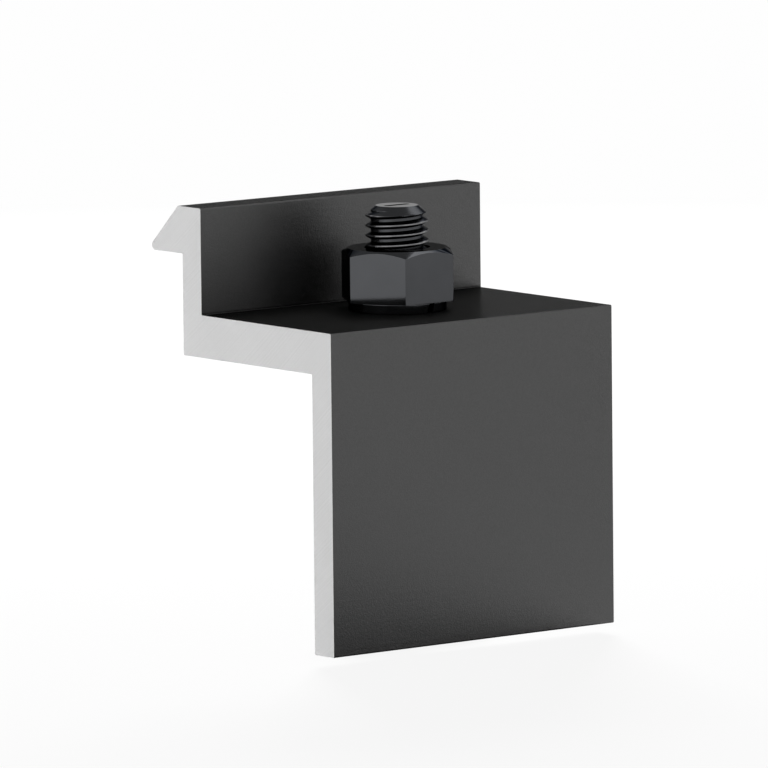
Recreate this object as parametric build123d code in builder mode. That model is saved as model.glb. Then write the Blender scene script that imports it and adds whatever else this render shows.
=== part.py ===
"""Solar end clamp with its hammer-head bolt, spring washer and hex nut. Sizes are in millimetres.

The clamp stands on a mounting rail that runs along Y and holds down the last solar module of a row.
+X runs along the sawn length, +Y from the leg towards the module, +Z up out of the rail.
The origin is on the bolt's axis, in the plane of the rail's top, where the leg's foot stands.
"""

import os
from math import cos, radians, sin, sqrt, tan

from build123d import *

# Clamp profile, sawn off an aluminium extrusion with a Z section
clamp_length = 44.3
profile_width = 29.8
leg_height = 40.0
leg_wall = 3.8
web_wall = 5.3
flange_wall = 3.75

# Lip along the flange's top, which hooks over the frame of the module
lip_above_web = 7.4
lip_rise = 5.9
lip_reach = 7.2
lip_shoulder = 0.88
lip_tip_radius = 0.6
outer_corner_radius = 0.2
inner_corner_radius = 0.1

# Drilled hole in the middle of the web, deburred on both sides
bolt_hole_diameter = 9.0
bolt_hole_deburr = 0.3

# Metric thread, drawn at its pitch diameter in the bolt and in the nut
thread_diameter = 8.0
thread_pitch = 1.25
thread_running_clearance = 0.05

# Spring washer, split and pressed flat between the web and the nut
washer_outer_diameter = 12.3
washer_inner_diameter = 8.2
washer_thickness = 1.25
washer_split_gap = 0.9
washer_split_slant = 20.0
washer_split_bearing = -86.0

# Hex nut, flat below and with its corners taken off by a cone above
nut_across_flats = 13.0
nut_height = 6.5
nut_face_diameter = 12.35
nut_chamfer_angle = 30.0
nut_bore_countersink = 0.45

# Hammer-head bolt, its head across the rail's slot
bolt_length = 50.0
thread_stand_out = 5.25
head_length = 22.3
head_width = 10.3
head_thickness = 4.2
head_edge_chamfer = 0.5
head_root_radius = 0.4
bolt_end_flat_diameter = 5.3
bolt_end_chamfer_height = 0.8

# Mark pressed into the bolt's free end, in line with the head, to show how the head lies in the rail
end_mark_length = 3.8
end_mark_width = 0.9
end_mark_depth = 0.5

# Height of one sharp thread triangle, and how far inside the crest the pitch line lies
thread_triangle = thread_pitch * sqrt(3) / 2
pitch_diameter = thread_diameter - 2 * 3 / 8 * thread_triangle

# Faces of the profile that other pieces seat on
leg_outer_face = -profile_width / 2
leg_inner_face = leg_outer_face + leg_wall
flange_outer_face = profile_width / 2
flange_inner_face = flange_outer_face - flange_wall
web_underside = leg_height - web_wall

# Height above the rail of the module frame that the lip grips, and of the whole profile
grip_height = leg_height + lip_above_web
flange_top = grip_height + lip_rise

# Heights of the fastener stack
nut_seat = leg_height + washer_thickness
nut_top = nut_seat + nut_height
bolt_end = nut_top + thread_stand_out
head_seat = bolt_end - bolt_length
head_bottom = head_seat - head_thickness

# The section is drawn looking along the extrusion: leg, web, flange, and the lip's slanted back
with BuildPart() as clamp_profile:
    with BuildSketch(Plane.YZ) as section:
        with BuildLine():
            Polyline(
                (leg_outer_face, 0),
                (leg_inner_face, 0),
                (leg_inner_face, web_underside),
                (flange_outer_face, web_underside),
                (flange_outer_face, grip_height),
                (flange_outer_face + lip_reach, grip_height),
                (flange_outer_face + lip_shoulder, flange_top),
                (flange_inner_face, flange_top),
                (flange_inner_face, leg_height),
                (leg_outer_face, leg_height),
                close=True,
            )
        make_face()
        inner_corners = [
            (leg_inner_face, web_underside),
            (flange_outer_face, grip_height),
            (flange_inner_face, leg_height),
        ]
        lip_tip = section.vertices().sort_by(Axis.X)[-1]
        roots = [
            section.vertices().sort_by_distance((y, z))[0]
            for y, z in inner_corners
        ]
        outer = [v for v in section.vertices() if v not in roots + [lip_tip]]
        fillet(lip_tip, radius=lip_tip_radius)
        fillet(
            [section.vertices().sort_by_distance(v)[0] for v in roots],
            radius=inner_corner_radius,
        )
        fillet(
            [section.vertices().sort_by_distance(v)[0] for v in outer],
            radius=outer_corner_radius,
        )
    extrude(amount=clamp_length / 2, both=True)
    with Locations((0, 0, leg_height)):
        Hole(bolt_hole_diameter / 2, depth=web_wall)
    rims = clamp_profile.edges().filter_by(GeomType.CIRCLE).filter_by(
        lambda e: abs(e.radius - bolt_hole_diameter / 2) < bolt_hole_deburr / 2
    )
    chamfer(rims, length=bolt_hole_deburr)
clamp_profile.part.label = "clamp_profile"

# The ring is sawn through on a slant, so that its two ends pass each other when it springs open
with BuildPart() as spring_washer:
    with BuildSketch(Plane.XY.offset(leg_height)):
        Circle(washer_outer_diameter / 2)
        Circle(washer_inner_diameter / 2, mode=Mode.SUBTRACT)
    extrude(amount=washer_thickness)
    bearing = radians(washer_split_bearing)
    split_lean = washer_thickness / 2 * tan(radians(washer_split_slant))
    split_plane = Plane(
        origin=(0, 0, leg_height + washer_thickness / 2),
        x_dir=(-sin(bearing), cos(bearing), 0),
        z_dir=(cos(bearing), sin(bearing), 0),
    )
    with BuildSketch(split_plane):
        with BuildLine():
            Polyline(
                (-washer_split_gap / 2 - 2 * split_lean, -washer_thickness),
                (washer_split_gap / 2 - 2 * split_lean, -washer_thickness),
                (washer_split_gap / 2 + 2 * split_lean, washer_thickness),
                (-washer_split_gap / 2 + 2 * split_lean, washer_thickness),
                close=True,
            )
        make_face()
    extrude(amount=washer_outer_diameter, mode=Mode.SUBTRACT)
spring_washer.part.label = "spring_washer"

# A hexagonal bar with two opposite flats facing the leg and the flange, its upper end turned to a cone
cone_reach = nut_across_flats / sqrt(3)
cone_drop = (cone_reach - nut_face_diameter / 2) * tan(radians(nut_chamfer_angle))
with BuildPart() as hex_nut:
    with BuildSketch(Plane.XY.offset(nut_seat)):
        RegularPolygon(nut_across_flats / 2, side_count=6, major_radius=False)
    extrude(amount=nut_height)
    with BuildSketch(Plane.XZ):
        with BuildLine():
            Polyline(
                (0, nut_seat),
                (cone_reach, nut_seat),
                (cone_reach, nut_top - cone_drop),
                (nut_face_diameter / 2, nut_top),
                (0, nut_top),
                close=True,
            )
        make_face()
    revolve(axis=Axis.Z, mode=Mode.INTERSECT)
    bore_radius = pitch_diameter / 2 + thread_running_clearance
    with Locations((0, 0, nut_top)):
        Hole(bore_radius, depth=nut_height)
    mouths = hex_nut.edges().filter_by(GeomType.CIRCLE).filter_by(
        lambda e: abs(e.radius - bore_radius) < thread_running_clearance
    )
    chamfer(mouths, length=nut_bore_countersink)
hex_nut.part.label = "hex_nut"

# Two opposite corners of the head are rounded, so that it turns to its locked place and stops there
with BuildPart() as t_bolt:
    with BuildSketch(Plane.XY.offset(head_bottom)) as head_outline:
        Rectangle(head_length, head_width)
        turning_corners = [
            head_outline.vertices().sort_by_distance((-head_length, head_width))[0],
            head_outline.vertices().sort_by_distance((head_length, -head_width))[0],
        ]
        fillet(turning_corners, radius=head_width / 2)
    extrude(amount=head_thickness)
    chamfer(t_bolt.faces().sort_by(Axis.Z)[0].edges(), length=head_edge_chamfer)
    with BuildSketch(Plane.XY.offset(head_seat)):
        Circle(pitch_diameter / 2)
    extrude(amount=bolt_length)
    root_edge = (
        t_bolt.edges()
        .filter_by(GeomType.CIRCLE)
        .filter_by_position(Axis.Z, head_seat, head_seat)
    )
    fillet(root_edge.filter_by(lambda e: e.radius < head_width / 2), radius=head_root_radius)
    end_face = t_bolt.faces().sort_by(Axis.Z)[-1]
    chamfer(
        end_face.edges(),
        length=(pitch_diameter - bolt_end_flat_diameter) / 2,
        length2=bolt_end_chamfer_height,
        reference=end_face,
    )
    with BuildSketch(Plane.XY.offset(bolt_end)):
        SlotOverall(end_mark_length, end_mark_width)
    extrude(amount=-end_mark_depth, mode=Mode.SUBTRACT)
t_bolt.part.label = "t_bolt"

os.makedirs("parts", exist_ok=True)
export_step(clamp_profile.part, "parts/clamp_profile.step")
export_step(spring_washer.part, "parts/spring_washer.step")
export_step(hex_nut.part, "parts/hex_nut.step")
export_step(t_bolt.part, "parts/t_bolt.step")

# How far the bolt can be drawn up before its head meets the web, and let down to the nut's top
print(f"bolt can rise {web_underside - head_seat:.3f} mm and sink {thread_stand_out:.3f} mm")
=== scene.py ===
from math import asin, atan2, cos, pi, radians, sin, sqrt, tan

import bmesh
import bpy
from mathutils import Matrix, Vector


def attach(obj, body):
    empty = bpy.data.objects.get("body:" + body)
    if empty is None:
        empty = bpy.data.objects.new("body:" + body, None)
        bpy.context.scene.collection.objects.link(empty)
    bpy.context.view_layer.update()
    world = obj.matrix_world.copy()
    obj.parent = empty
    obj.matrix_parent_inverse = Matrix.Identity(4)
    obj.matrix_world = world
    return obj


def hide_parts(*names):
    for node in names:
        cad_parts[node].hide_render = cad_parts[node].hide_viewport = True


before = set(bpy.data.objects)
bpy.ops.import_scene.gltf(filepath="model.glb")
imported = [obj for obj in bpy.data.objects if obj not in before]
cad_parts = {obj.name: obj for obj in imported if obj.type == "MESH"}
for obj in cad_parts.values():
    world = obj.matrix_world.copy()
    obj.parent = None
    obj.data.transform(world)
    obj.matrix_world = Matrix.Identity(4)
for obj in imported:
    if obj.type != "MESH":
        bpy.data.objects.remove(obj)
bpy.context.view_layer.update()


# Viewpoint of the photograph
# The product was shown from the leg's side, a little from the left and from just above the web, through a
# very long lens, so that upright edges stay nearly upright. Angles are in degrees, sizes in millimetres.
mm = 0.001
view_azimuth = -38.09
view_elevation = 7.19
view_roll = -0.57
view_distance = 1345.4
view_aim = Vector((-3.75, -1.87, 31.07))
lens_length = 508.3
sensor_width = 36.0

azimuth = radians(view_azimuth)
elevation = radians(view_elevation)
towards_camera = Vector((sin(azimuth) * cos(elevation), -cos(azimuth) * cos(elevation), sin(elevation)))
level_right = Vector((cos(azimuth), sin(azimuth), 0))
level_up = towards_camera.cross(level_right)
level_axes = Matrix((level_right, level_up, towards_camera)).transposed()

camera_data = bpy.data.cameras.new("photograph_camera")
camera_data.lens = lens_length
camera_data.sensor_width = sensor_width
camera_data.clip_start = 0.1
camera_data.clip_end = 20
camera = bpy.data.objects.new("photograph_camera", camera_data)
camera.rotation_mode = "QUATERNION"
camera.rotation_quaternion = (level_axes @ Matrix.Rotation(radians(view_roll), 3, "Z")).to_quaternion()
camera.location = (view_aim + towards_camera * view_distance) * mm
bpy.context.scene.collection.objects.link(camera)
bpy.context.scene.camera = camera


# Clamp profile
# An aluminium extrusion with a Z section: a leg that stands on the rail, a web that the bolt passes through,
# and a flange whose lip hooks over the module's frame. The bar is black anodised first, and then it is sawn
# to length and drilled, so the sawn ends and the wall of the hole are bare metal.
clamp_length = 44.3
leg_outer_face = -14.9
leg_inner_face = -11.1
flange_inner_face = 11.15
flange_outer_face = 14.9
web_underside = 34.7
web_top = 40.0
lip_underside = 47.4
flange_top = 53.3
lip_reach = 7.2
lip_shoulder = 0.88
lip_tip_radius = 0.6
outer_corner_radius = 0.2
inner_corner_radius = 0.1
bolt_hole_radius = 4.5
bolt_hole_deburr = 0.3


def add_node(tree, kind, inputs=None, **settings):
    """Adds a node to a tree. Its inputs, by name or number, are given a value or another node's output."""
    node = tree.nodes.new(kind)
    for setting, value in settings.items():
        setattr(node, setting, value)
    for socket, value in (inputs or {}).items():
        if isinstance(value, bpy.types.NodeSocket):
            tree.links.new(value, node.inputs[socket])
        else:
            node.inputs[socket].default_value = value
    return node


def calculate(tree, operation, *values):
    """Adds a math node to a tree of shader or geometry nodes, and gives its result."""
    return add_node(tree, "ShaderNodeMath", dict(enumerate(values)), operation=operation).outputs[0]


def map_range(tree, value, low, high, from_low=0.0, from_high=1.0):
    """Maps a varying value onto another range."""
    node = add_node(
        tree,
        "ShaderNodeMapRange",
        {"Value": value, "From Min": from_low, "From Max": from_high, "To Min": low, "To Max": high},
    )
    return node.outputs[0]


def new_group(kind, name, inputs, outputs):
    """Makes an empty node group with named inputs and outputs, and gives it with its two end nodes."""
    group = bpy.data.node_groups.new(name, kind)
    for socket_name, socket_type in inputs.items():
        group.interface.new_socket(socket_name, in_out="INPUT", socket_type=socket_type)
    for socket_name, socket_type in outputs.items():
        group.interface.new_socket(socket_name, in_out="OUTPUT", socket_type=socket_type)
    return group, group.nodes.new("NodeGroupInput").outputs, group.nodes.new("NodeGroupOutput").inputs


def grain_group():
    """Fine grain of an etched, sawn or forged surface: noise of a given size, which may be drawn out."""
    group, given, result = new_group(
        "ShaderNodeTree",
        "fine_grain",
        {"Vector": "NodeSocketVector", "Grain Size": "NodeSocketFloat", "Squeeze": "NodeSocketVector"},
        {"Grain": "NodeSocketFloat"},
    )
    squeezed = add_node(
        group, "ShaderNodeVectorMath", {0: given["Vector"], 1: given["Squeeze"]}, operation="MULTIPLY"
    )
    noise = add_node(
        group,
        "ShaderNodeTexNoise",
        {
            "Vector": squeezed.outputs[0],
            "Scale": calculate(group, "DIVIDE", 1.0, given["Grain Size"]),
            "Detail": 3.0,
            "Roughness": 0.6,
        },
    )
    group.links.new(noise.outputs["Fac"], result["Grain"])
    return group


def wear_group():
    """Rubbed edges: a mask that is one on sharp convex edges and fades over the given width."""
    group, given, result = new_group(
        "ShaderNodeTree",
        "rubbed_edges",
        {"Vector": "NodeSocketVector", "Width": "NodeSocketFloat", "Patch Size": "NodeSocketFloat"},
        {"Wear": "NodeSocketFloat"},
    )
    rounded = add_node(group, "ShaderNodeBevel", {"Radius": given["Width"]}, samples=6)
    surface = add_node(group, "ShaderNodeNewGeometry")
    likeness = add_node(
        group,
        "ShaderNodeVectorMath",
        {0: rounded.outputs[0], 1: surface.outputs["Normal"]},
        operation="DOT_PRODUCT",
    )
    edge = add_node(
        group,
        "ShaderNodeMapRange",
        {"Value": likeness.outputs["Value"], "From Min": 0.995, "From Max": 0.85},
    )
    patches = add_node(
        group,
        "ShaderNodeTexNoise",
        {
            "Vector": given["Vector"],
            "Scale": calculate(group, "DIVIDE", 1.0, given["Patch Size"]),
            "Detail": 4.0,
        },
    )
    patchy = add_node(
        group,
        "ShaderNodeMapRange",
        {"Value": patches.outputs["Fac"], "From Min": 0.4, "From Max": 0.65},
    )
    # An inner corner is bent as sharply but isn't rubbed, and occlusion tells it from an outer one.
    open_side = add_node(
        group, "ShaderNodeAmbientOcclusion", {"Distance": given["Width"]}, samples=4, only_local=True
    )
    outer = map_range(group, open_side.outputs["AO"], 0, 1, 0.75, 0.95)
    worn = calculate(group, "MULTIPLY", edge.outputs[0], patchy.outputs[0])
    group.links.new(calculate(group, "MULTIPLY", worn, outer), result["Wear"])
    return group


fine_grain = grain_group()
rubbed_edges = wear_group()


def new_material(name, **constants):
    """Makes a material and gives it with its tree, its shader and the object's own coordinates."""
    material = bpy.data.materials.new(name)
    material.use_nodes = True
    tree = material.node_tree
    shader = tree.nodes["Principled BSDF"]
    for socket, value in constants.items():
        shader.inputs[socket.replace("_", " ").title()].default_value = value
    place = tree.nodes.new("ShaderNodeTexCoord").outputs["Object"]
    return material, tree, shader, place


def place_group(tree, group, **inputs):
    """Places a shader node group in a material, with values of its own, and gives its first output."""
    named = {socket.replace("_", " ").title(): value for socket, value in inputs.items()}
    return add_node(tree, "ShaderNodeGroup", named, node_tree=group).outputs[0]


def blend_colours(tree, share, first, second):
    """Mixes two colours by a share that varies over the surface."""
    mix = add_node(tree, "ShaderNodeMix", data_type="RGBA")
    for socket, value in ((0, share), (6, first), (7, second)):
        if isinstance(value, bpy.types.NodeSocket):
            tree.links.new(value, mix.inputs[socket])
        else:
            mix.inputs[socket].default_value = value
    return mix.outputs[2]


def anodised_aluminium():
    """Black anodised and satin: the bar was etched before it was dyed, so it has a fine even grain."""
    # The darkest colour is painted shade for the inner corners.
    painted_crease_shade = (0.012, 0.012, 0.012, 1)
    dyed = (0.0905, 0.0905, 0.0905, 1)
    dyed_pale = (0.102, 0.102, 0.102, 1)
    rubbed = (0.17, 0.17, 0.172, 1)
    material, tree, shader, place = new_material(
        "black_anodised_satin", metallic=1.0, specular_tint=(0.09, 0.09, 0.09, 1)
    )
    grain = place_group(tree, fine_grain, vector=place, grain_size=0.17 * mm, squeeze=(1, 1, 1))
    die_lines = place_group(tree, fine_grain, vector=place, grain_size=0.5 * mm, squeeze=(0.02, 1, 1))
    mottle = place_group(tree, fine_grain, vector=place, grain_size=0.6 * mm, squeeze=(1, 1, 1))
    wear = place_group(tree, rubbed_edges, vector=place, width=0.12 * mm, patch_size=1.5 * mm)
    film = blend_colours(tree, map_range(tree, grain, 0, 1, 0.3, 0.7), dyed, dyed_pale)
    # Painted shade: the colour is darkened in the inner corners, as far as occlusion reaches into them.
    crease_occlusion = add_node(
        tree, "ShaderNodeAmbientOcclusion", {"Distance": 0.4 * mm}, samples=8, only_local=True
    )
    crease_unshaded_share = map_range(tree, crease_occlusion.outputs["AO"], 0, 1, 0.64, 0.94)
    film_with_crease_shade = blend_colours(tree, crease_unshaded_share, painted_crease_shade, film)
    worn_film = blend_colours(tree, calculate(tree, "MULTIPLY", wear, 0.5), film_with_crease_shade, rubbed)
    tree.links.new(worn_film, shader.inputs["Base Color"])
    satin = map_range(tree, mottle, 0.34, 0.39, 0.2, 0.8)
    tree.links.new(satin, shader.inputs["Roughness"])
    etched = calculate(tree, "MULTIPLY_ADD", mottle, 0.3, grain)
    relief = calculate(tree, "MULTIPLY_ADD", die_lines, 0.25, etched)
    bump = add_node(
        tree, "ShaderNodeBump", {"Strength": 1.0, "Distance": 0.03 * mm, "Height": relief}
    )
    tree.links.new(bump.outputs[0], shader.inputs["Normal"])
    return material


def sawn_aluminium():
    """Bare metal off the saw: shallow arcs where the blade's teeth passed, over a fine bright grain."""
    blade_centre = (0, 0.12, 0.19)
    tooth_mark = 0.22 * mm
    bright = (0.705, 0.705, 0.706, 1)
    dull = (0.655, 0.655, 0.656, 1)
    material, tree, shader, place = new_material("bare_sawn_aluminium", metallic=1.0)
    flattened = add_node(
        tree, "ShaderNodeVectorMath", {0: place, 1: (0, 1, 1)}, operation="MULTIPLY"
    )
    radius = add_node(
        tree, "ShaderNodeVectorMath", {0: flattened.outputs[0], 1: blade_centre}, operation="DISTANCE"
    )
    arcs = add_node(
        tree,
        "ShaderNodeTexNoise",
        {"W": radius.outputs["Value"], "Scale": 1 / tooth_mark, "Detail": 2.0},
        noise_dimensions="1D",
    )
    grain = place_group(tree, fine_grain, vector=place, grain_size=0.12 * mm, squeeze=(1, 1, 1))
    mottle = place_group(tree, fine_grain, vector=place, grain_size=5 * mm, squeeze=(1, 1, 1))
    broad_tone = calculate(tree, "MULTIPLY", mottle, 0.4)
    tone = calculate(tree, "MULTIPLY_ADD", arcs.outputs["Fac"], 0.6, broad_tone)
    metal = blend_colours(tree, map_range(tree, tone, 0, 1, 0.3, 0.7), dull, bright)
    tree.links.new(metal, shader.inputs["Base Color"])
    matt = map_range(tree, grain, 0.44, 0.56, 0.3, 0.7)
    tree.links.new(matt, shader.inputs["Roughness"])
    relief = calculate(tree, "MULTIPLY_ADD", grain, 0.4, arcs.outputs["Fac"])
    bump = add_node(
        tree, "ShaderNodeBump", {"Strength": 0.15, "Distance": 0.02 * mm, "Height": relief}
    )
    tree.links.new(bump.outputs[0], shader.inputs["Normal"])
    return material


def extrusion_tree():
    """Rounds the corners of a drawn section, extrudes it, drills its web and parts film from bare metal."""
    lengths = ("Length", "Hole Radius", "Hole Deburr", "Hole Top", "Hole Depth")
    tree, given, result = new_group(
        "GeometryNodeTree",
        "sawn_and_drilled_extrusion",
        {
            "Section": "NodeSocketGeometry",
            **{name: "NodeSocketFloat" for name in lengths},
            "Corner Steps": "NodeSocketInt",
            "Hole Sides": "NodeSocketInt",
            "Film": "NodeSocketMaterial",
            "Bare Metal": "NodeSocketMaterial",
        },
        {"Geometry": "NodeSocketGeometry"},
    )
    tree.is_modifier = True
    outline = add_node(tree, "GeometryNodeMeshToCurve", {"Mesh": given["Section"]})
    corner_radius = add_node(
        tree, "GeometryNodeInputNamedAttribute", {"Name": "corner_radius"}, data_type="FLOAT"
    )
    rounded = add_node(
        tree,
        "GeometryNodeFilletCurve",
        {
            "Curve": outline.outputs[0],
            "Count": given["Corner Steps"],
            "Radius": corner_radius.outputs[0],
            "Limit Radius": False,
        },
        mode="POLY",
    )
    start_face = add_node(tree, "GeometryNodeFillCurve", {"Curve": rounded.outputs[0]}, mode="NGONS")
    along = add_node(tree, "ShaderNodeCombineXYZ", {"Z": given["Length"]})
    drawn_out = add_node(
        tree,
        "GeometryNodeExtrudeMesh",
        {"Mesh": start_face.outputs[0], "Offset": along.outputs[0], "Individual": False},
        mode="FACES",
    )
    closing_face = add_node(tree, "GeometryNodeFlipFaces", {"Mesh": start_face.outputs[0]})
    both = add_node(tree, "GeometryNodeJoinGeometry")
    tree.links.new(drawn_out.outputs["Mesh"], both.inputs[0])
    tree.links.new(closing_face.outputs[0], both.inputs[0])
    closed = add_node(
        tree, "GeometryNodeMergeByDistance", {"Geometry": both.outputs[0], "Distance": 0.001 * mm}
    )
    half_back = add_node(
        tree, "ShaderNodeCombineXYZ", {"X": calculate(tree, "MULTIPLY", given["Length"], -0.5)}
    )
    bar = add_node(
        tree,
        "GeometryNodeTransform",
        {
            "Geometry": closed.outputs[0],
            "Translation": half_back.outputs[0],
            "Rotation": (radians(90), 0, radians(90)),
        },
    )
    drill_height = add_node(
        tree,
        "ShaderNodeCombineXYZ",
        {
            "Z": calculate(
                tree, "MULTIPLY_ADD", given["Hole Depth"], -0.5, given["Hole Top"]
            )
        },
    )
    drill = add_node(
        tree,
        "GeometryNodeMeshCylinder",
        {
            "Vertices": given["Hole Sides"],
            "Radius": given["Hole Radius"],
            "Depth": calculate(tree, "MULTIPLY", given["Hole Depth"], 1.5),
        },
        fill_type="NGON",
    )
    drill_placed = add_node(
        tree,
        "GeometryNodeTransform",
        {"Geometry": drill.outputs[0], "Translation": drill_height.outputs[0]},
    )
    drilled = add_node(tree, "GeometryNodeMeshBoolean", operation="DIFFERENCE", solver="EXACT")
    tree.links.new(bar.outputs[0], drilled.inputs["Mesh 1"])
    tree.links.new(drill_placed.outputs[0], drilled.inputs["Mesh 2"])
    # A cone on each side of the web takes the burr off the hole's edge.
    cone_height = calculate(tree, "MULTIPLY", given["Hole Deburr"], 2.0)
    wide = calculate(tree, "ADD", given["Hole Radius"], cone_height)
    web_bottom = calculate(tree, "SUBTRACT", given["Hole Top"], given["Hole Depth"])
    for radius_top, radius_bottom, height in (
        (wide, given["Hole Radius"], calculate(tree, "SUBTRACT", given["Hole Top"], given["Hole Deburr"])),
        (given["Hole Radius"], wide, calculate(tree, "SUBTRACT", web_bottom, given["Hole Deburr"])),
    ):
        cone = add_node(
            tree,
            "GeometryNodeMeshCone",
            {
                "Vertices": given["Hole Sides"],
                "Radius Top": radius_top,
                "Radius Bottom": radius_bottom,
                "Depth": cone_height,
            },
            fill_type="NGON",
        )
        cone_place = add_node(tree, "ShaderNodeCombineXYZ", {"Z": height})
        cone_placed = add_node(
            tree,
            "GeometryNodeTransform",
            {"Geometry": cone.outputs[0], "Translation": cone_place.outputs[0]},
        )
        deburred = add_node(tree, "GeometryNodeMeshBoolean", operation="DIFFERENCE", solver="EXACT")
        tree.links.new(drilled.outputs[0], deburred.inputs["Mesh 1"])
        tree.links.new(cone_placed.outputs[0], deburred.inputs["Mesh 2"])
        drilled = deburred
    place = add_node(tree, "GeometryNodeInputPosition").outputs[0]
    facing = add_node(tree, "GeometryNodeInputNormal").outputs[0]
    position = add_node(tree, "ShaderNodeSeparateXYZ", {0: place})
    normal = add_node(tree, "ShaderNodeSeparateXYZ", {0: facing})
    off_middle = calculate(tree, "ABSOLUTE", position.outputs["X"])
    end_plane = calculate(tree, "MULTIPLY_ADD", given["Length"], 0.5, -0.001 * mm)
    on_end = calculate(tree, "GREATER_THAN", off_middle, end_plane)
    from_axis = calculate(
        tree,
        "SQRT",
        calculate(
            tree,
            "ADD",
            calculate(tree, "POWER", position.outputs["X"], 2.0),
            calculate(tree, "POWER", position.outputs["Y"], 2.0),
        ),
    )
    near_axis = calculate(tree, "LESS_THAN", from_axis, wide)
    not_level = calculate(tree, "LESS_THAN", calculate(tree, "ABSOLUTE", normal.outputs["Z"]), 0.9)
    in_hole = calculate(tree, "MULTIPLY", near_axis, not_level)
    cut = calculate(tree, "MAXIMUM", on_end, in_hole)
    plain = add_node(tree, "GeometryNodeRealizeInstances", {"Geometry": drilled.outputs[0]})
    filmed = add_node(
        tree, "GeometryNodeSetMaterial", {"Geometry": plain.outputs[0], "Material": given["Film"]}
    )
    bared = add_node(
        tree,
        "GeometryNodeSetMaterial",
        {"Geometry": filmed.outputs[0], "Selection": cut, "Material": given["Bare Metal"]},
    )
    tree.links.new(bared.outputs[0], result["Geometry"])
    return tree


def run_tree(name, tree, settings, source=None):
    """Runs a geometry node tree on a source mesh and gives the resulting plain mesh."""
    carrier = bpy.data.objects.new(name + "_source", source or bpy.data.meshes.new(name + "_empty"))
    bpy.context.scene.collection.objects.link(carrier)
    modifier = carrier.modifiers.new("build", "NODES")
    modifier.node_group = tree
    for socket in tree.interface.items_tree:
        if socket.name in settings:
            modifier[socket.identifier] = settings[socket.name]
    evaluated = carrier.evaluated_get(bpy.context.evaluated_depsgraph_get())
    mesh = bpy.data.meshes.new_from_object(evaluated)
    mesh.name = name
    carrier.modifiers.remove(modifier)
    bpy.data.objects.remove(carrier)
    return mesh


def show(name, mesh, smooth_angle):
    """Shades a mesh smooth up to an angle and puts it in the scene under its name."""
    mesh.shade_smooth()
    mesh.set_sharp_from_angle(angle=radians(smooth_angle))
    piece = bpy.data.objects.new(name, mesh)
    bpy.context.scene.collection.objects.link(piece)
    return piece


def section_outline():
    """The Z section as a closed loop of corners, across and up, each with the radius that rounds it."""
    corners = (
        (leg_outer_face, 0, outer_corner_radius),
        (leg_inner_face, 0, outer_corner_radius),
        (leg_inner_face, web_underside, inner_corner_radius),
        (flange_outer_face, web_underside, outer_corner_radius),
        (flange_outer_face, lip_underside, inner_corner_radius),
        (flange_outer_face + lip_reach, lip_underside, lip_tip_radius),
        (flange_outer_face + lip_shoulder, flange_top, outer_corner_radius),
        (flange_inner_face, flange_top, outer_corner_radius),
        (flange_inner_face, web_top, inner_corner_radius),
        (leg_outer_face, web_top, outer_corner_radius),
    )
    mesh = bpy.data.meshes.new("clamp_section")
    loop = [(i, (i + 1) % len(corners)) for i in range(len(corners))]
    mesh.from_pydata([(across * mm, up * mm, 0) for across, up, _ in corners], loop, [])
    radii = mesh.attributes.new("corner_radius", "FLOAT", "POINT")
    radii.data.foreach_set("value", [radius * mm for _, _, radius in corners])
    return mesh


anodised = anodised_aluminium()
sawn = sawn_aluminium()
clamp_mesh = run_tree(
    "clamp_profile_finished",
    extrusion_tree(),
    {
        "Length": clamp_length * mm,
        "Hole Radius": bolt_hole_radius * mm,
        "Hole Deburr": bolt_hole_deburr * mm,
        "Hole Top": web_top * mm,
        "Hole Depth": (web_top - web_underside) * mm,
        "Corner Steps": 6,
        "Hole Sides": 96,
        "Film": anodised,
        "Bare Metal": sawn,
    },
    source=section_outline(),
)
clamp = show("clamp_profile_finished", clamp_mesh, smooth_angle=5)
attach(clamp, "clamp")
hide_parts("clamp_profile")


# Spring washer
# A split ring of square spring wire, blackened like the nut. It is pressed flat between the web and the nut,
# with its two slanted ends just apart at the front, and it keeps the nut from working loose.
washer_outer_radius = 6.15
washer_inner_radius = 4.1
washer_thickness = 1.25
washer_edge_radius = 0.12
corner_hold = 0.04
washer_gap = 0.9
washer_slant = 20.0
washer_gap_bearing = -86.0
washer_steps = 120


def blackened_steel():
    """Steel with a black oxide finish: nearly smooth, faintly blue, rubbed a little along its edges."""
    oxide = (0.066, 0.068, 0.072, 1)
    oxide_pale = (0.073, 0.075, 0.0795, 1)
    rubbed = (0.26, 0.26, 0.265, 1)
    material, tree, shader, place = new_material(
        "black_oxide_steel", metallic=1.0, specular_tint=(0.28, 0.28, 0.28, 1)
    )
    grain = place_group(tree, fine_grain, vector=place, grain_size=0.12 * mm, squeeze=(1, 1, 1))
    clouds = place_group(tree, fine_grain, vector=place, grain_size=3 * mm, squeeze=(1, 1, 1))
    wear = place_group(tree, rubbed_edges, vector=place, width=0.1 * mm, patch_size=0.8 * mm)
    tone = calculate(tree, "MULTIPLY_ADD", grain, 0.4, calculate(tree, "MULTIPLY", clouds, 0.6))
    film = blend_colours(tree, map_range(tree, tone, 0, 1, 0.3, 0.7), oxide, oxide_pale)
    worn_film = blend_colours(tree, calculate(tree, "MULTIPLY", wear, 0.35), film, rubbed)
    tree.links.new(worn_film, shader.inputs["Base Color"])
    glossy = map_range(tree, clouds, 0.05, 0.08, 0.3, 0.7)
    tree.links.new(glossy, shader.inputs["Roughness"])
    bump = add_node(
        tree, "ShaderNodeBump", {"Strength": 0.1, "Distance": 0.01 * mm, "Height": grain}
    )
    tree.links.new(bump.outputs[0], shader.inputs["Normal"])
    return material


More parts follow.
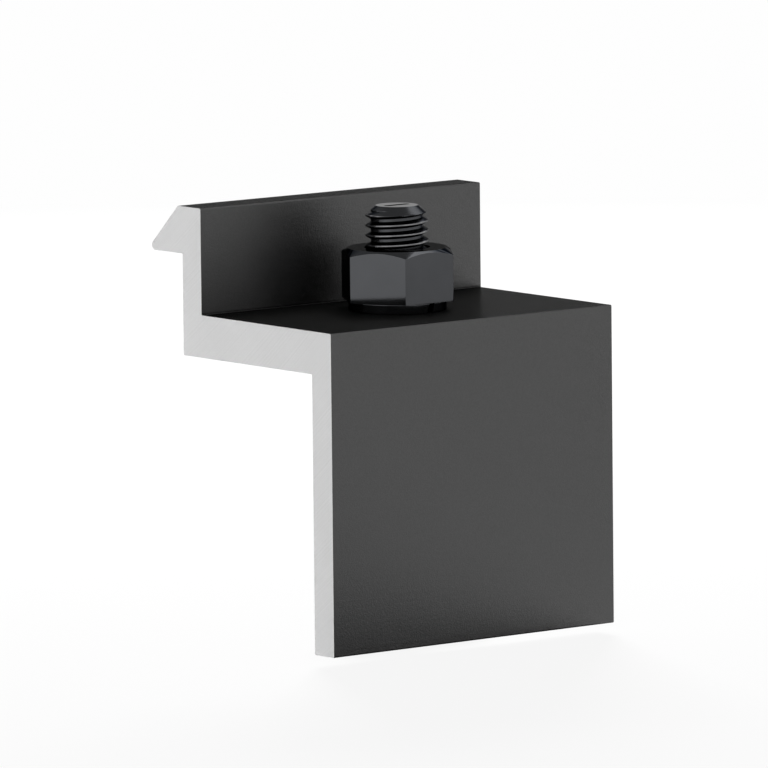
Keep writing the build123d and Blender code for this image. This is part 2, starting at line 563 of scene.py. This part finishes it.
def skin(rings, closed_loop=False, cap_start=False, cap_end=False):
    """Joins rings of equally many points, from one to the next, into a mesh of quads in a new bmesh."""
    surface = bmesh.new()
    rows = [[surface.verts.new(point) for point in ring] for ring in rings]
    following = rows[1:] + rows[:1] if closed_loop else rows[1:]
    for row, beyond in zip(rows, following):
        for i in range(len(row)):
            j = (i + 1) % len(row)
            surface.faces.new((row[i], row[j], beyond[j], beyond[i]))
    if cap_start:
        surface.faces.new(rows[0][::-1])
    if cap_end:
        surface.faces.new(rows[-1])
    return surface


def rounded_wire():
    """The wire's section as radius and height: a rectangle whose rounded corners have points beside them."""
    middle_r = (washer_outer_radius + washer_inner_radius) / 2
    middle_z = washer_thickness / 2
    half_r = (washer_outer_radius - washer_inner_radius) / 2
    round_r = half_r - washer_edge_radius
    round_z = middle_z - washer_edge_radius
    quarter = [(half_r, round_z - corner_hold)]
    for step in range(4):
        turn = radians(30 * step)
        quarter.append((round_r + washer_edge_radius * cos(turn), round_z + washer_edge_radius * sin(turn)))
    quarter.append((round_r - corner_hold, middle_z))
    half = quarter + [(-r, z) for r, z in quarter[::-1]]
    section = half + [(r, -z) for r, z in half[::-1]]
    return [(middle_r + r, middle_z + z) for r, z in section]


def washer_rings():
    """One ring of section points for each step round the washer, from one slanted end to the other."""
    rings = []
    for step in range(washer_steps + 1):
        share = step / washer_steps
        ring = []
        for radius, height in rounded_wire():
            lean = (height - washer_thickness / 2) * tan(radians(washer_slant))
            first = asin((washer_gap / 2 + lean) / radius)
            last = 2 * pi + asin((-washer_gap / 2 + lean) / radius)
            turn = radians(washer_gap_bearing) + first + (last - first) * share
            ring.append(Vector((radius * cos(turn), radius * sin(turn), web_top + height)) * mm)
        rings.append(ring)
    return rings


def finish_surface(surface, name, *materials):
    """Merges the doubles of a bmesh, turns its faces outwards and makes it a mesh with its materials."""
    bmesh.ops.remove_doubles(surface, verts=surface.verts, dist=0.001 * mm)
    bmesh.ops.recalc_face_normals(surface, faces=surface.faces)
    mesh = bpy.data.meshes.new(name)
    surface.to_mesh(mesh)
    surface.free()
    for material in materials:
        mesh.materials.append(material)
    return mesh


blackened = blackened_steel()
washer_surface = skin(washer_rings(), cap_start=True, cap_end=True)
washer_mesh = finish_surface(washer_surface, "spring_washer_finished", blackened)
washer = show("spring_washer_finished", washer_mesh, smooth_angle=35)
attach(washer, "clamp")
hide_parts("spring_washer")


# Hex nut
# An M8 steel nut, cold formed and tapped, with a black oxide finish. Its upper side is chamfered to a round
# face and its lower side is flat, and its thread takes the bolt's, with a little running clearance.
nut_seat = web_top + washer_thickness
nut_height = 6.5
nut_top = nut_seat + nut_height
across_flats = 13.0
nut_corner_radius = 0.2
nut_face_radius = 6.175
nut_chamfer_angle = 30.0
nut_mouth_radius = 4.094
thread_pitch = 1.25
nut_thread_root = 4.03
nut_thread_crest = 3.36
thread_columns = 96
mouth_slope = 1.0


def thread_tree():
    """A helical thread with flat crests and roots, cut off by cones at its ends, or faded into a shank."""
    lengths = (
        "Pitch",
        "Outer Radius",
        "Inner Radius",
        "Bottom",
        "Top",
        "Bottom Mouth",
        "Top Mouth",
        "Mouth Slope",
        "Shank Radius",
        "Run-out",
        "Outward",
    )
    rows_per_turn = 16
    crest_half = 1 / 16
    root_half = 6 / 16
    tree, given, result = new_group(
        "GeometryNodeTree",
        "helical_thread",
        {
            "Geometry": "NodeSocketGeometry",
            **{name: "NodeSocketFloat" for name in lengths},
            "Columns": "NodeSocketInt",
            "Material": "NodeSocketMaterial",
        },
        {"Geometry": "NodeSocketGeometry"},
    )
    tree.is_modifier = True
    # Rows follow the helix, from one turn below the thread's foot to one turn above its head.
    span = calculate(tree, "SUBTRACT", given["Top"], given["Bottom"])
    whole_turns = calculate(tree, "CEIL", calculate(tree, "DIVIDE", span, given["Pitch"]))
    turns = calculate(tree, "ADD", whole_turns, 3.0)
    rows = calculate(tree, "MULTIPLY_ADD", turns, rows_per_turn, 1.0)
    sheet = add_node(
        tree,
        "GeometryNodeMeshGrid",
        {
            "Size X": turns,
            "Size Y": 1.0,
            "Vertices X": rows,
            "Vertices Y": calculate(tree, "ADD", given["Columns"], 1.0),
        },
    )
    sheet_place = add_node(tree, "GeometryNodeInputPosition").outputs[0]
    flat = add_node(tree, "ShaderNodeSeparateXYZ", {0: sheet_place})
    share = calculate(tree, "ADD", flat.outputs["Y"], 0.5)
    turns_below = calculate(tree, "FLOOR", calculate(tree, "DIVIDE", given["Bottom"], given["Pitch"]))
    first_turn = calculate(tree, "SUBTRACT", turns_below, 1.0)
    along_sheet = calculate(tree, "MULTIPLY_ADD", turns, 0.5, flat.outputs["X"])
    along = calculate(tree, "ADD", along_sheet, first_turn)
    free_height = calculate(tree, "MULTIPLY", given["Pitch"], calculate(tree, "ADD", along, share))
    height = calculate(
        tree, "MINIMUM", calculate(tree, "MAXIMUM", free_height, given["Bottom"]), given["Top"]
    )
    from_crest = calculate(tree, "PINGPONG", along, 0.5)
    profile = map_range(tree, from_crest, 1, 0, crest_half, root_half)
    depth = calculate(tree, "SUBTRACT", given["Outer Radius"], given["Inner Radius"])
    threaded = calculate(tree, "MULTIPLY_ADD", depth, profile, given["Inner Radius"])
    side = given["Outward"]
    to_top = calculate(tree, "SUBTRACT", given["Top"], height)
    to_bottom = calculate(tree, "SUBTRACT", height, given["Bottom"])
    limits = [
        calculate(
            tree,
            "MULTIPLY_ADD",
            distance,
            given["Mouth Slope"],
            calculate(tree, "MULTIPLY", side, given[mouth]),
        )
        for distance, mouth in ((to_top, "Top Mouth"), (to_bottom, "Bottom Mouth"))
    ]
    cut = calculate(
        tree, "MINIMUM", calculate(tree, "MULTIPLY", side, threaded), calculate(tree, "MINIMUM", *limits)
    )
    cut_radius = calculate(tree, "MULTIPLY", side, cut)
    fade = add_node(
        tree,
        "ShaderNodeMapRange",
        {"Value": to_bottom, "From Max": given["Run-out"]},
        interpolation_type="SMOOTHSTEP",
    )
    radius = calculate(
        tree,
        "MULTIPLY_ADD",
        calculate(tree, "SUBTRACT", cut_radius, given["Shank Radius"]),
        fade.outputs[0],
        given["Shank Radius"],
    )
    turn = calculate(tree, "MULTIPLY", share, 2 * pi)
    wound = add_node(
        tree,
        "ShaderNodeCombineXYZ",
        {
            "X": calculate(tree, "MULTIPLY", radius, calculate(tree, "COSINE", turn)),
            "Y": calculate(tree, "MULTIPLY", radius, calculate(tree, "SINE", turn)),
            "Z": height,
        },
    )
    helix = add_node(
        tree, "GeometryNodeSetPosition", {"Geometry": sheet.outputs[0], "Position": wound.outputs[0]}
    )
    joined = add_node(
        tree, "GeometryNodeMergeByDistance", {"Geometry": helix.outputs[0], "Distance": 0.001 * mm}
    )
    plain = add_node(tree, "GeometryNodeRealizeInstances", {"Geometry": joined.outputs[0]})
    finished = add_node(
        tree, "GeometryNodeSetMaterial", {"Geometry": plain.outputs[0], "Material": given["Material"]}
    )
    tree.links.new(finished.outputs[0], result["Geometry"])
    return tree


def hexagon_outline(width, corner_radius, points):
    """A hexagon with two flats across the Y axis and rounded corners, its points spread evenly round it."""
    per_side = points // 6
    corner_points = 4
    outline = []
    corner_distance = (width / 2 - corner_radius) / cos(radians(30))
    half_side = corner_distance / 2
    for side in range(6):
        facing = radians(60 * side + 30)
        outward = Vector((cos(facing), sin(facing)))
        sideways = Vector((-sin(facing), cos(facing)))
        crease_occlusion = Vector((cos(facing - radians(30)), sin(facing - radians(30)))) * corner_distance
        for step in range(corner_points):
            turn = facing - radians(30) + radians(30) * step / corner_points
            outline.append(crease_occlusion + Vector((cos(turn), sin(turn))) * corner_radius)
        straight_points = per_side - 2 * corner_points + 1
        for step in range(straight_points):
            share = step / (straight_points - 1) * 2 - 1
            outline.append(outward * width / 2 + sideways * half_side * share)
        next_corner = Vector((cos(facing + radians(30)), sin(facing + radians(30)))) * corner_distance
        for step in range(1, corner_points):
            turn = facing + radians(30) * step / corner_points
            outline.append(next_corner + Vector((cos(turn), sin(turn))) * corner_radius)
    return outline


def circle(radius, height, points=thread_columns):
    """A ring of points at one radius and height."""
    turns = [2 * pi * i / points for i in range(points)]
    return [Vector((radius * cos(turn), radius * sin(turn), height)) * mm for turn in turns]


def nut_rings():
    """The nut's rings outside its thread: lower face, sides up to the cone, cone, and upper face."""
    outline = hexagon_outline(across_flats, nut_corner_radius, thread_columns)
    cone = [nut_top - max(0, p.length - nut_face_radius) * tan(radians(nut_chamfer_angle)) for p in outline]
    return [
        circle(nut_mouth_radius, nut_seat),
        [Vector((p.x, p.y, nut_seat)) * mm for p in outline],
        [Vector((p.x, p.y, z)) * mm for p, z in zip(outline, cone)],
        circle(nut_face_radius, nut_top),
        circle(nut_mouth_radius, nut_top),
    ]


threads = thread_tree()
nut_thread = run_tree(
    "hex_nut_thread",
    threads,
    {
        "Pitch": thread_pitch * mm,
        "Outer Radius": nut_thread_root * mm,
        "Inner Radius": nut_thread_crest * mm,
        "Bottom": nut_seat * mm,
        "Top": nut_top * mm,
        "Bottom Mouth": nut_mouth_radius * mm,
        "Top Mouth": nut_mouth_radius * mm,
        "Mouth Slope": mouth_slope,
        "Shank Radius": 0.0,
        "Run-out": 0.0,
        "Outward": -1.0,
        "Columns": thread_columns,
        "Material": blackened,
    },
)
nut_surface = skin(nut_rings())
nut_surface.from_mesh(nut_thread)
nut_mesh = finish_surface(nut_surface, "hex_nut_finished", blackened)
nut = show("hex_nut_finished", nut_mesh, smooth_angle=25)
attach(nut, "nut")
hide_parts("hex_nut")


# Hammer-head bolt
# An M8 bolt with a flat hammer head that locks across the rail's slot. It is cold forged, its thread is
# rolled from its end down to just above the head, and a line pressed into its end shows how the head lies.
bolt_end = 53.0
bolt_seat = 3.0
head_length = 22.3
head_width = 10.3
head_thickness = 4.2
head_edge_chamfer = 0.5
head_root_radius = 0.4
shank_radius = 3.594
bolt_thread_crest = 3.93
bolt_thread_root = 3.25
thread_start = 5.5
thread_run_out = 2.2
bolt_end_flat_radius = 2.65
bolt_end_slope = 1.18
end_mark_length = 3.8
end_mark_width = 0.9
end_mark_depth = 0.5


def rolled_thread():
    """Black oxide on the rolled thread: satin in its roots, and rubbed paler by the nut on its crests."""
    oxide = (0.066, 0.068, 0.072, 1)
    rubbed = (0.24, 0.24, 0.245, 1)
    wear_starts = bolt_thread_crest - 0.1
    wear_full = bolt_thread_crest - 0.02
    material, tree, shader, place = new_material(
        "black_oxide_rolled_thread", metallic=1.0, specular_tint=(0.28, 0.28, 0.28, 1)
    )
    across = add_node(tree, "ShaderNodeVectorMath", {0: place, 1: (1, 1, 0)}, operation="MULTIPLY")
    from_axis = add_node(tree, "ShaderNodeVectorMath", {0: across.outputs[0]}, operation="LENGTH")
    crest = map_range(tree, from_axis.outputs["Value"], 0, 1, wear_starts * mm, wear_full * mm)
    grain = place_group(tree, fine_grain, vector=place, grain_size=0.12 * mm, squeeze=(1, 1, 1))
    patches = place_group(tree, fine_grain, vector=place, grain_size=1.2 * mm, squeeze=(1, 1, 1))
    worn = calculate(tree, "MULTIPLY", crest, map_range(tree, patches, 0.5, 1, 0.3, 0.6))
    worn_film = blend_colours(tree, worn, oxide, rubbed)
    tree.links.new(worn_film, shader.inputs["Base Color"])
    satin = map_range(tree, grain, 0.18, 0.28, 0.3, 0.7)
    tree.links.new(satin, shader.inputs["Roughness"])
    bump = add_node(
        tree, "ShaderNodeBump", {"Strength": 0.1, "Distance": 0.01 * mm, "Height": grain}
    )
    tree.links.new(bump.outputs[0], shader.inputs["Normal"])
    return material


def head_outline(inset, height):
    """The head from above: a rectangle with two opposite corners fully rounded, moved in by an inset."""
    half_length = head_length / 2 - inset
    half_width = head_width / 2 - inset
    round_centre = (head_length - head_width) / 2
    corner_turn = atan2(half_width, half_length)
    half_step = pi / thread_columns
    ring = []
    for i in range(thread_columns):
        turn = 2 * pi * i / thread_columns
        for exact in (corner_turn, corner_turn + pi):
            if abs(turn - exact) < half_step:
                turn = exact
        along = abs(cos(turn))
        across = abs(sin(turn))
        reach = min(half_length / max(along, 1e-9), half_width / max(across, 1e-9))
        rounded = cos(turn) * sin(turn) < -1e-9
        if rounded and reach * along > round_centre:
            reach = round_centre * along + sqrt(half_width**2 - (round_centre * across) ** 2)
        ring.append(Vector((reach * cos(turn), reach * sin(turn), height)) * mm)
    return ring


def mark_outline(height):
    """The pressed mark on the bolt's end: a slot with round ends, in line with the head."""
    end_radius = end_mark_width / 2
    straight = end_mark_length / 2 - end_radius
    ring = []
    for i in range(thread_columns):
        turn = 2 * pi * i / thread_columns
        along = abs(cos(turn))
        across = abs(sin(turn))
        reach = end_radius / max(across, 1e-9)
        if reach * along > straight:
            reach = straight * along + sqrt(end_radius**2 - (straight * across) ** 2)
        ring.append(Vector((reach * cos(turn), reach * sin(turn), height)) * mm)
    return ring


def bolt_rings():
    """The bolt's rings below its thread, from the shank down over the head to its lower face."""
    root_steps = 5
    rings = [circle(shank_radius, thread_start)]
    for step in range(root_steps + 1):
        turn = radians(90) * step / root_steps
        rings.append(
            circle(
                shank_radius + head_root_radius * (1 - cos(turn)),
                bolt_seat + head_root_radius * (1 - sin(turn)),
            )
        )
    head_bottom = bolt_seat - head_thickness
    rings.append(head_outline(0, bolt_seat))
    rings.append(head_outline(0, head_bottom + head_edge_chamfer))
    rings.append(head_outline(head_edge_chamfer, head_bottom))
    return rings


rolled = rolled_thread()
bolt_thread = run_tree(
    "t_bolt_thread",
    threads,
    {
        "Pitch": thread_pitch * mm,
        "Outer Radius": bolt_thread_crest * mm,
        "Inner Radius": bolt_thread_root * mm,
        "Bottom": thread_start * mm,
        "Top": bolt_end * mm,
        "Bottom Mouth": bolt_thread_crest * mm,
        "Top Mouth": bolt_end_flat_radius * mm,
        "Mouth Slope": bolt_end_slope,
        "Shank Radius": shank_radius * mm,
        "Run-out": thread_run_out * mm,
        "Outward": 1.0,
        "Columns": thread_columns,
        "Material": rolled,
    },
)
bolt_surface = skin(bolt_rings(), cap_end=True)
plain_faces = len(bolt_surface.faces)
bolt_surface.from_mesh(bolt_thread)
bolt_surface.faces.ensure_lookup_table()
for face in bolt_surface.faces[plain_faces:]:
    face.material_index = 1
end_rings = [
    circle(bolt_end_flat_radius, bolt_end),
    mark_outline(bolt_end),
    mark_outline(bolt_end - end_mark_depth),
]
end_surface = skin(end_rings, cap_end=True)
end_mesh = bpy.data.meshes.new("bolt_end")
end_surface.to_mesh(end_mesh)
end_surface.free()
bolt_surface.from_mesh(end_mesh)
bolt_mesh = finish_surface(bolt_surface, "t_bolt_finished", blackened, rolled)
bolt = show("t_bolt_finished", bolt_mesh, smooth_angle=25)
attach(bolt, "bolt")
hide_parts("t_bolt")


# Floor and light
# A plain pale floor just under the bolt's head, and a white surround that the camera and the metal see. One
# soft box behind the clamp lights the floor and casts the shadow that the foot of the leg mirrors. The other
# soft boxes light the metal alone.
floor_level = -1.25
floor_size = 8.0
floor_colour = (0.86, 0.86, 0.86, 1)
near_radius = 0.1
far_radius = 0.5
camera_white = 0.92
glossy_white = 0.0
white = (1, 1, 1, 1)
white_strength = 0.99
surround_light = 0.06
ceiling_glow = 0.35
horizon_end = 20
ceiling_start = 65
aim_height = 26

floor_mesh = bpy.data.meshes.new("floor")
half_floor = floor_size / 2
floor_corners = [
    (x * half_floor, y * half_floor, floor_level * mm) for x, y in ((-1, -1), (1, -1), (1, 1), (-1, 1))
]
floor_mesh.from_pydata(floor_corners, [], [(0, 1, 2, 3)])
floor = bpy.data.objects.new("floor", floor_mesh)
bpy.context.scene.collection.objects.link(floor)

floor_material = bpy.data.materials.new("pale_floor")
floor_material.use_nodes = True
floor_tree = floor_material.node_tree
floor_tree.nodes.clear()
rays = floor_tree.nodes.new("ShaderNodeLightPath").outputs
floor_place = floor_tree.nodes.new("ShaderNodeTexCoord").outputs["Object"]
from_middle = add_node(floor_tree, "ShaderNodeVectorMath", {0: floor_place}, operation="LENGTH")
far_share = map_range(floor_tree, from_middle.outputs["Value"], 0, 1, near_radius, far_radius)
camera_share = map_range(floor_tree, far_share, camera_white, 1)
glossy_share = map_range(floor_tree, far_share, glossy_white, 1)
camera_part = calculate(floor_tree, "MULTIPLY", rays["Is Camera Ray"], camera_share)
glossy_part = calculate(floor_tree, "MULTIPLY", rays["Is Glossy Ray"], glossy_share)
whitened = calculate(floor_tree, "MAXIMUM", camera_part, glossy_part)
whitened = calculate(floor_tree, "MAXIMUM", whitened, rays["Is Transmission Ray"])
paint = add_node(floor_tree, "ShaderNodeBsdfDiffuse", {"Color": floor_colour})
glow = add_node(floor_tree, "ShaderNodeEmission", {"Color": white, "Strength": white_strength})
floor_mix = add_node(
    floor_tree, "ShaderNodeMixShader", {0: whitened, 1: paint.outputs[0], 2: glow.outputs[0]}
)
add_node(floor_tree, "ShaderNodeOutputMaterial", {0: floor_mix.outputs[0]})
floor_mesh.materials.append(floor_material)

# The metal sees the surround white near the horizon and dimmer overhead, as in a room.
world = bpy.data.worlds.new("white_surround")
bpy.context.scene.world = world
world.use_nodes = True
world_tree = world.node_tree
world_tree.nodes.clear()
world_rays = world_tree.nodes.new("ShaderNodeLightPath").outputs
looked_at = world_tree.nodes.new("ShaderNodeTexCoord").outputs["Generated"]
upward = add_node(world_tree, "ShaderNodeSeparateXYZ", {0: looked_at}).outputs["Z"]
dimmed = map_range(
    world_tree,
    upward,
    white_strength,
    ceiling_glow,
    sin(radians(horizon_end)),
    sin(radians(ceiling_start)),
)
direct = calculate(world_tree, "MAXIMUM", world_rays["Is Camera Ray"], world_rays["Is Transmission Ray"])
seen = calculate(world_tree, "MAXIMUM", direct, world_rays["Is Glossy Ray"])
mirrored = calculate(world_tree, "MULTIPLY", world_rays["Is Glossy Ray"], dimmed)
shown = calculate(world_tree, "MAXIMUM", mirrored, calculate(world_tree, "MULTIPLY", direct, white_strength))
unseen = calculate(world_tree, "SUBTRACT", 1.0, seen)
strength = calculate(world_tree, "MULTIPLY_ADD", unseen, surround_light, shown)
surround = add_node(world_tree, "ShaderNodeBackground", {"Color": white, "Strength": strength})
add_node(world_tree, "ShaderNodeOutputWorld", {0: surround.outputs[0]})


def soft_box(name, bearing, height, distance, width, radiance, lights):
    """A square soft box aimed at the middle of the object, which lights either the floor or the metal."""
    data = bpy.data.lights.new(name, "AREA")
    data.shape = "SQUARE"
    data.size = width
    data.energy = radiance * pi * width**2
    box = bpy.data.objects.new(name, data)
    level = cos(radians(height))
    direction = Vector((cos(radians(bearing)) * level, sin(radians(bearing)) * level, sin(radians(height))))
    box.location = Vector((0, 0, aim_height)) * mm + direction * distance
    box.rotation_mode = "QUATERNION"
    box.rotation_quaternion = direction.to_track_quat("Z", "Y")
    box.visible_diffuse = lights == "floor"
    box.visible_glossy = lights == "metal"
    bpy.context.scene.collection.objects.link(box)


soft_box("back_softbox", bearing=54, height=23, distance=0.7, width=0.3, radiance=46, lights="floor")
soft_box("key_softbox", bearing=24, height=48, distance=0.7, width=0.42, radiance=2.0, lights="metal")
soft_box("fill_softbox", bearing=-110, height=35, distance=0.9, width=0.5, radiance=0.3, lights="metal")
soft_box("side_softbox", bearing=188, height=10, distance=0.3, width=0.2, radiance=0.4, lights="metal")

bpy.context.scene.view_settings.view_transform = "Standard"
